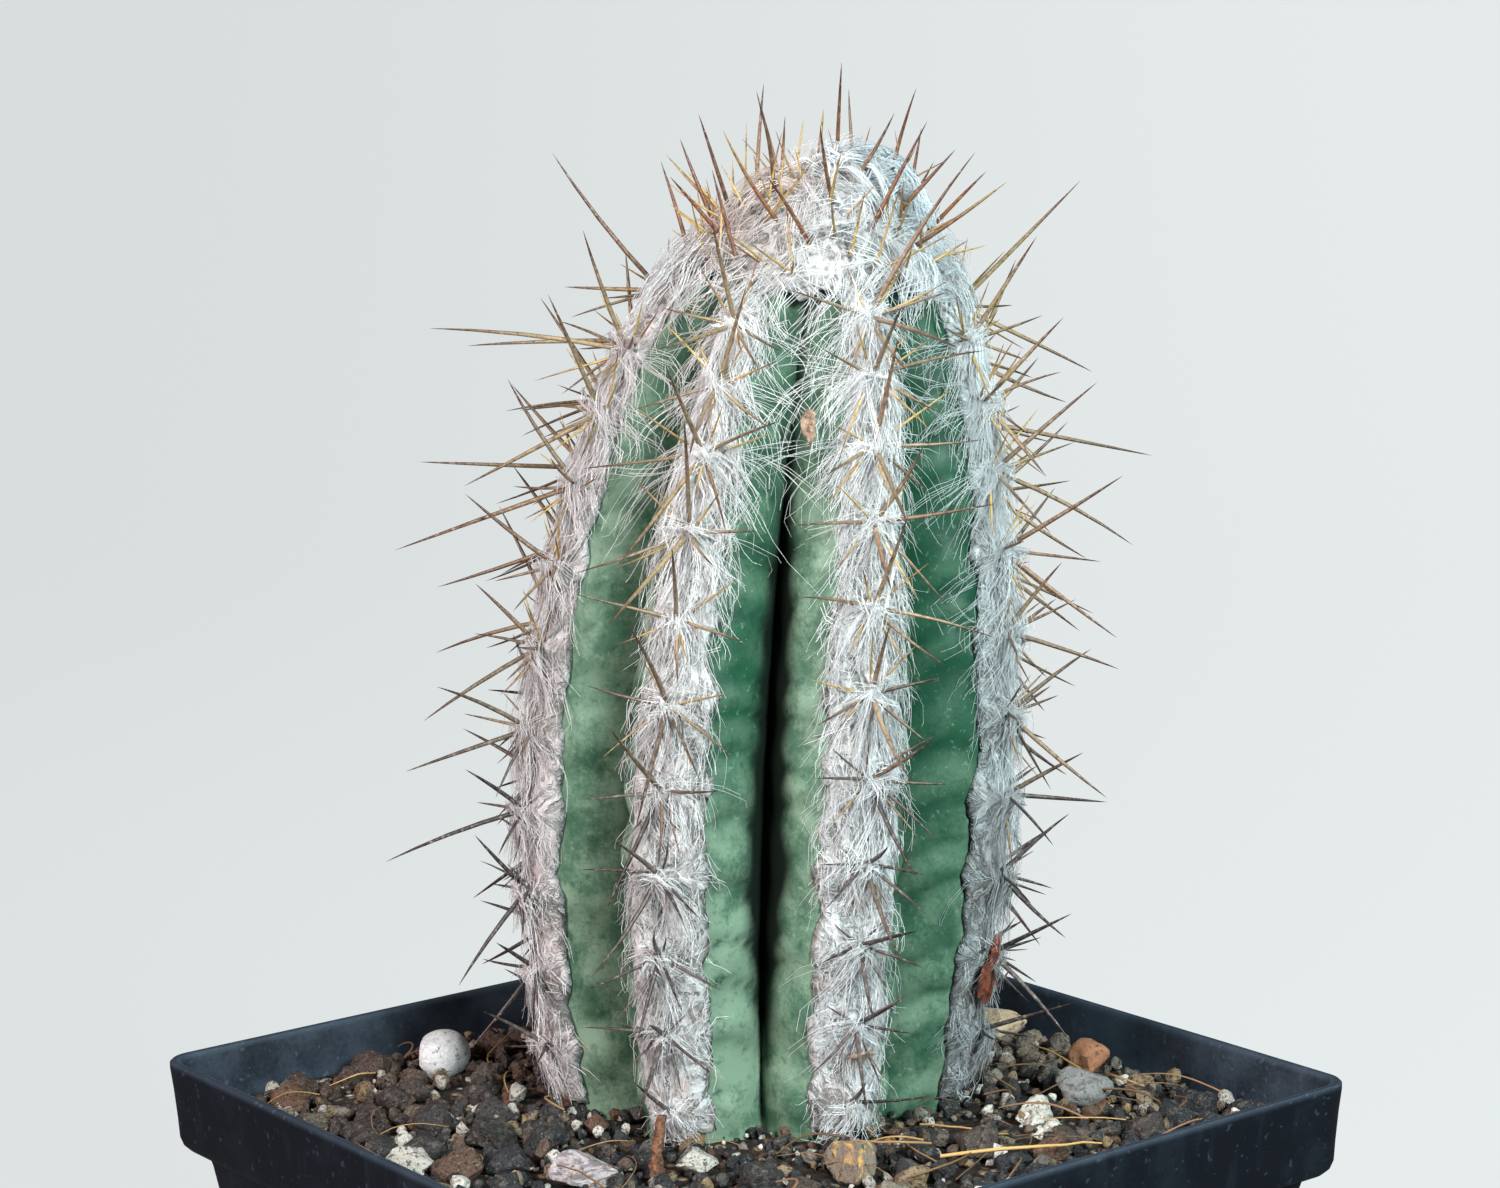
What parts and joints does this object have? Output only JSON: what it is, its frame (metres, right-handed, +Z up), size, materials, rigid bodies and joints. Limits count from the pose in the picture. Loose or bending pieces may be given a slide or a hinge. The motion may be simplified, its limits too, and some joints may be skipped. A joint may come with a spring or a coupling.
{
  "type": "potted column cactus",
  "caption": "Young ribbed column cactus with spines and white silky wool over its ribs, standing in grit in a square black nursery pot.",
  "frame": {"origin": "centre of the pot's flat underside", "axes": "+Z up, along the plant's height; X and Y along the square pot's sides; the stem leans towards +X and -Y"},
  "size_m": [0.1019, 0.1, 0.2013],
  "materials": {
    "pot_plastic": "smooth black moulded plastic, slightly glossy",
    "grit": "rough mineral grit, dark brown with mixed grains",
    "stem_skin": "waxy blue-green skin",
    "wool": "white silky wool with tan and brown spines",
    "twig_bark": "rough dry bark",
    "pebble_white": "dry rough stone",
    "stone_ochre": "dry rough stone",
    "stone_tan": "dry rough stone",
    "stone_grey": "dry rough stone",
    "stone_striped": "dry rough stone",
    "stone_russet": "dry rough stone"
  },
  "bodies": {
    "root": {"pot": "pot_plastic", "grit": "grit", "stem": "stem_skin", "wool_rib_1": "wool", "wool_rib_2": "wool", "wool_rib_3": "wool", "wool_rib_4": "wool", "wool_rib_5": "wool", "wool_rib_6": "wool", "wool_rib_7": "wool", "wool_rib_8": "wool", "wool_crown": "wool", "pebble_white": "pebble_white", "stone_ochre": "stone_ochre", "stone_tan": "stone_tan", "stone_grey": "stone_grey", "stone_striped": "stone_striped", "stone_russet": "stone_russet", "twig": "twig_bark"}
  },
  "joints": []
}
